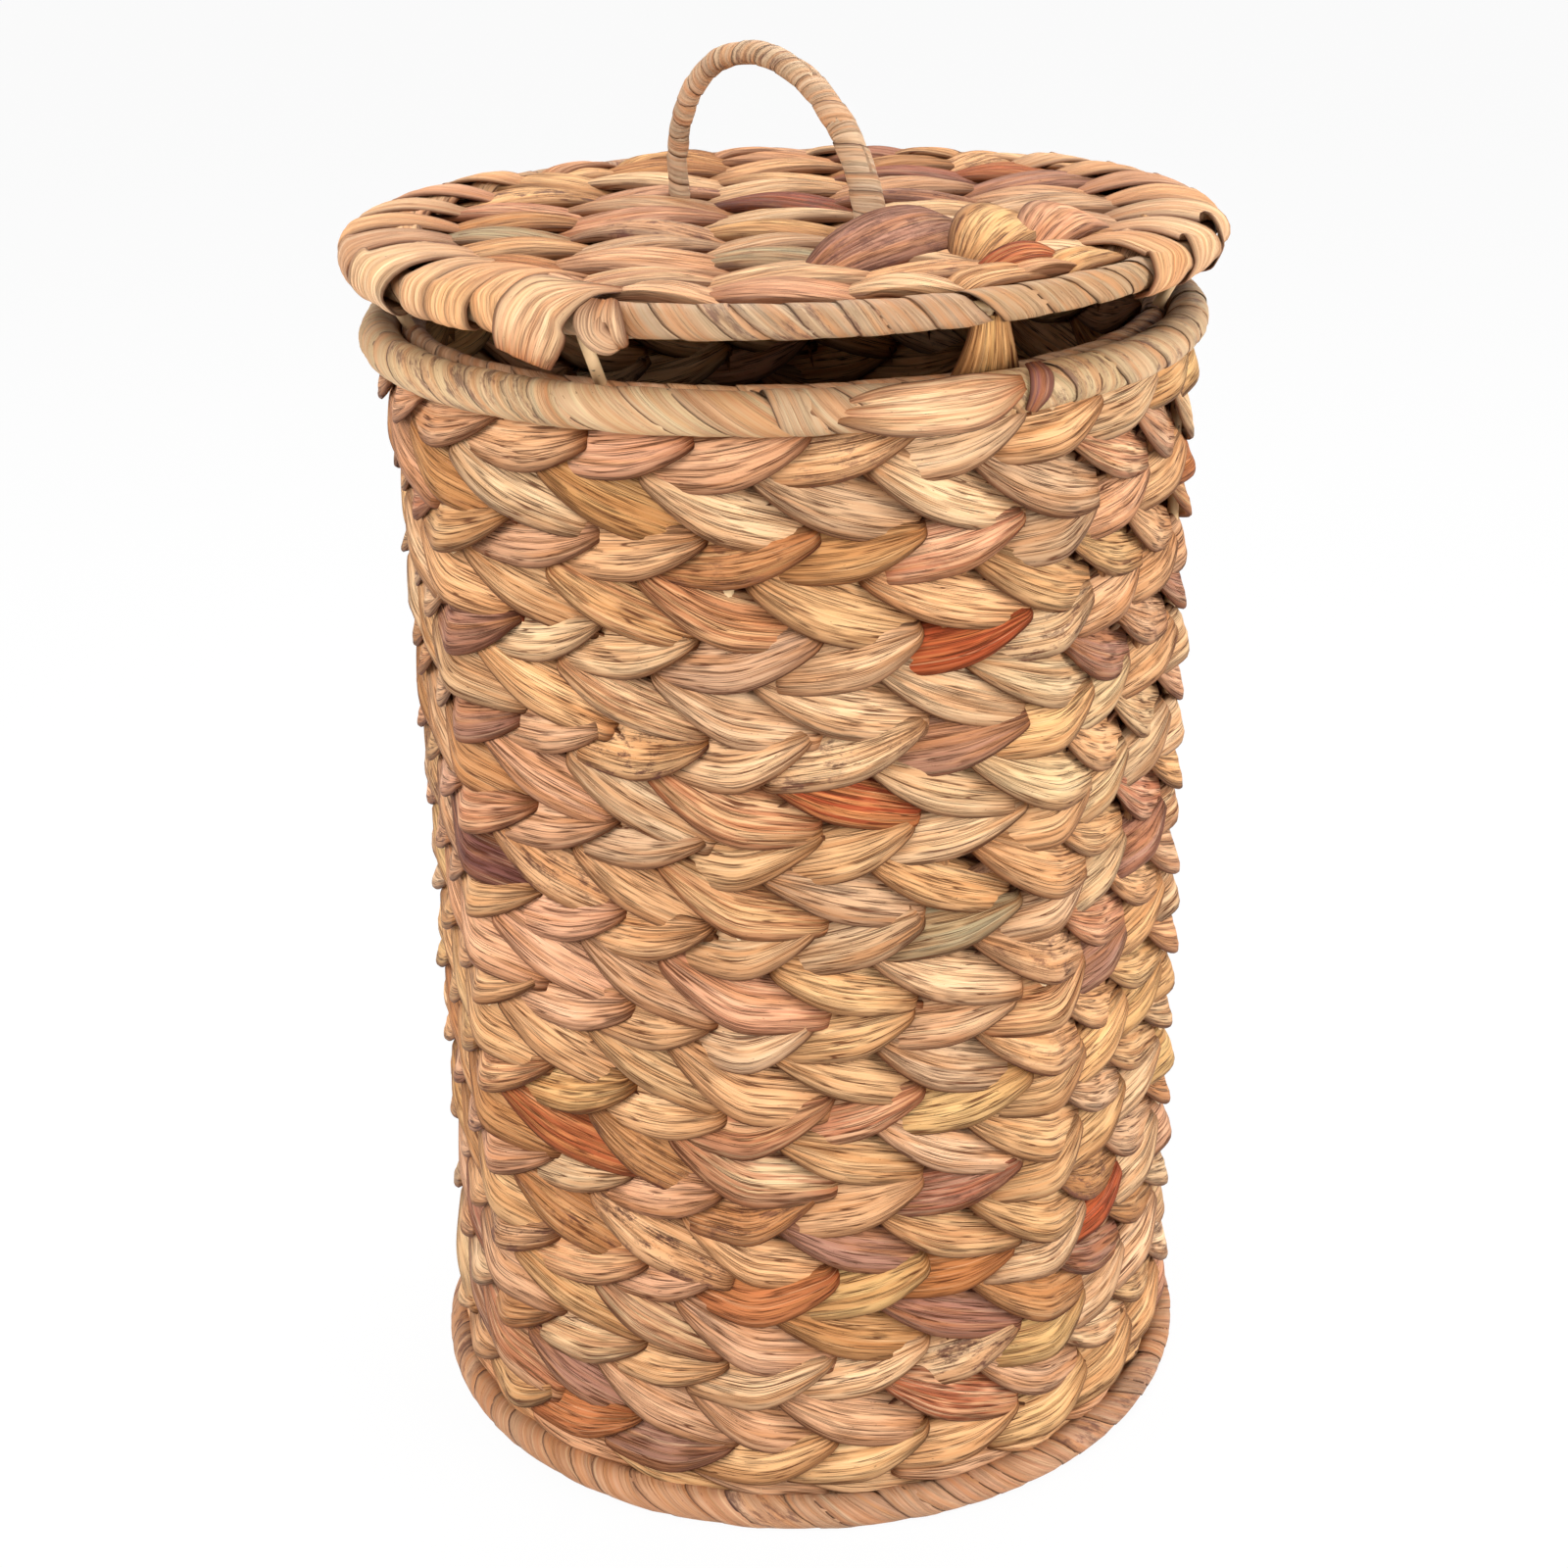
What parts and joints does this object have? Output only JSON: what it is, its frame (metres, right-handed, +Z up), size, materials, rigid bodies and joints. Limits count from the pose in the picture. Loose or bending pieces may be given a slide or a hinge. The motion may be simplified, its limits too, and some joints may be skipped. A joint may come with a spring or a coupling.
{
  "type": "waste basket",
  "caption": "Tall round waste basket woven from flat dried plant strands on a wire frame, with a lift-off woven lid that has an arched handle.",
  "frame": {"origin": "on the floor, under the middle of the basket", "axes": "+Z up along the basket, -Y towards the front, +X to the right as seen from the front"},
  "size_m": [0.252, 0.252, 0.4269],
  "materials": {
    "woven_leaf": "dried plant leaf and stalk, straw to tan with brown and reddish streaks, matte with a faint sheen",
    "leaf_wrap": "dried leaf strip wound tight, tan, matte",
    "fibre_stake": "brown coarse fibre, matte",
    "frame_wire": "cream painted steel wire, satin"
  },
  "bodies": {
    "basket": {"body_frame": "frame_wire", "stake_01": "fibre_stake", "stake_02": "fibre_stake", "stake_03": "fibre_stake", "stake_04": "fibre_stake", "stake_05": "fibre_stake", "stake_06": "fibre_stake", "stake_07": "fibre_stake", "stake_08": "fibre_stake", "stake_09": "fibre_stake", "stake_10": "fibre_stake", "stake_11": "fibre_stake", "stake_12": "fibre_stake", "stake_13": "fibre_stake", "stake_14": "fibre_stake", "stake_15": "fibre_stake", "stake_16": "fibre_stake", "side_course_01": "woven_leaf", "side_course_02": "woven_leaf", "side_course_03": "woven_leaf", "side_course_04": "woven_leaf", "side_course_05": "woven_leaf", "side_course_06": "woven_leaf", "side_course_07": "woven_leaf", "side_course_08": "woven_leaf", "side_course_09": "woven_leaf", "side_course_10": "woven_leaf", "side_course_11": "woven_leaf", "side_course_12": "woven_leaf", "side_course_13": "woven_leaf", "side_course_14": "woven_leaf", "side_course_15": "woven_leaf", "side_course_16": "woven_leaf", "side_course_17": "woven_leaf", "side_course_18": "woven_leaf", "side_course_19": "woven_leaf", "side_course_20": "woven_leaf", "side_course_21": "woven_leaf", "side_course_22": "woven_leaf", "side_course_23": "woven_leaf", "foot_course": "woven_leaf", "rim_wrap": "leaf_wrap", "foot_wrap": "leaf_wrap", "base_mat": "woven_leaf"},
    "lid": {"lid_frame": "frame_wire", "lid_course_01": "woven_leaf", "lid_course_02": "woven_leaf", "lid_course_03": "woven_leaf", "lid_course_04": "woven_leaf", "lid_course_05": "woven_leaf", "lid_course_06": "woven_leaf", "lid_course_07": "woven_leaf", "lid_course_08": "woven_leaf", "lid_course_09": "woven_leaf", "lid_course_10": "woven_leaf", "lid_course_11": "woven_leaf", "lid_ring_wrap": "leaf_wrap", "locating_ring_wrap": "leaf_wrap", "handle_wrap": "leaf_wrap", "leaf_tie": "woven_leaf"}
  },
  "joints": [
    {"name": "lid_lift", "type": "slide", "parent": "basket", "child": "lid", "axis": [0, 0, 1], "range_m": [0, 0.2]}
  ]
}
